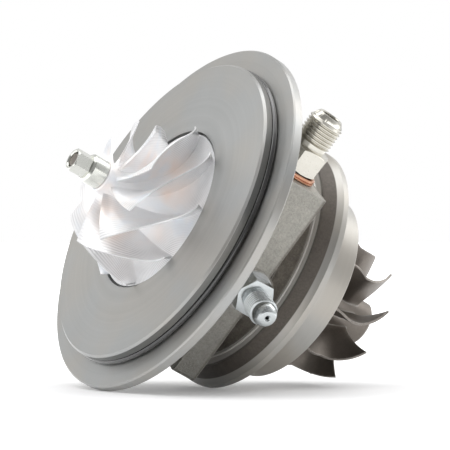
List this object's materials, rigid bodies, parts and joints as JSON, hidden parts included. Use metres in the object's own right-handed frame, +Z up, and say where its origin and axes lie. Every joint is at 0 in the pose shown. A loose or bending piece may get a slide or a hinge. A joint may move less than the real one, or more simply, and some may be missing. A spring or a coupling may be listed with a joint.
{
  "type": "turbo cartridge",
  "caption": "Ball-bearing turbo cartridge: a milled compressor wheel and a turbine wheel on one shaft in a cooled centre housing between two clamp flanges.",
  "frame": {"origin": "on the floor, under the middle of the part as it rests on the rims of its two flanges", "axes": "+Z up; the rotor's axis lies in the XZ plane, with the compressor end toward -X and raised by the lean of the resting pose; +Y across the rotor"},
  "size_m": [0.1412, 0.148, 0.1338],
  "materials": {
    "machined_steel": "turned, satin",
    "milled_aluminium": "milled, bright, with fine cutter ridges",
    "cast_iron": "sand cast, with milled faces",
    "nickel_alloy": "investment cast, satin, heat tinted",
    "plated_steel": "zinc plated, bright",
    "copper": "bright",
    "rubber": "oiled, glossy",
    "bearing_steel": "ground",
    "cage_polymer": "machined",
    "stainless_sheet": "pressed sheet"
  },
  "bodies": {
    "housing": {"center_housing": "cast_iron", "compressor_backplate": "machined_steel", "backplate_o_ring": "rubber", "housing_o_ring": "rubber", "backplate_screw_1": "bearing_steel", "backplate_screw_2": "bearing_steel", "backplate_screw_3": "bearing_steel", "backplate_screw_4": "bearing_steel", "oil_inlet_fitting": "plated_steel", "water_fitting": "plated_steel", "water_fitting_washer": "copper", "bearing_outer_ring": "bearing_steel", "bearing_retaining_ring": "bearing_steel", "heat_shield": "stainless_sheet", "front_seal_ring": "bearing_steel", "rear_seal_ring": "bearing_steel"},
    "rotor": {"turbine_wheel": "nickel_alloy", "compressor_wheel": "milled_aluminium", "shaft_nut": "plated_steel", "oil_slinger": "bearing_steel", "front_inner_race": "bearing_steel", "rear_inner_race": "bearing_steel"},
    "front_ball_set": {"front_ball_cage": "cage_polymer", "front_ball_1": "bearing_steel", "front_ball_2": "bearing_steel", "front_ball_3": "bearing_steel", "front_ball_4": "bearing_steel", "front_ball_5": "bearing_steel", "front_ball_6": "bearing_steel", "front_ball_7": "bearing_steel", "front_ball_8": "bearing_steel"},
    "rear_ball_set": {"rear_ball_cage": "cage_polymer", "rear_ball_1": "bearing_steel", "rear_ball_2": "bearing_steel", "rear_ball_3": "bearing_steel", "rear_ball_4": "bearing_steel", "rear_ball_5": "bearing_steel", "rear_ball_6": "bearing_steel", "rear_ball_7": "bearing_steel", "rear_ball_8": "bearing_steel"}
  },
  "joints": [
    {"name": "rotor_spin", "type": "hinge", "parent": "housing", "child": "rotor", "pos_m": [-0.02463, 0, 0.06785], "axis": [-0.8942, 0, 0.4476], "continuous": true},
    {"name": "front_ball_orbit", "type": "hinge", "parent": "housing", "child": "front_ball_set", "pos_m": [-0.01032, 0, 0.06069], "axis": [-0.8942, 0, 0.4476], "continuous": true},
    {"name": "rear_ball_orbit", "type": "hinge", "parent": "housing", "child": "rear_ball_set", "pos_m": [0.00756, 0, 0.05174], "axis": [-0.8942, 0, 0.4476], "continuous": true}
  ],
  "couplings": [
    {"joint": "front_ball_orbit", "follows": "rotor_spin", "ratio": 0.36585},
    {"joint": "rear_ball_orbit", "follows": "rotor_spin", "ratio": 0.36585}
  ]
}
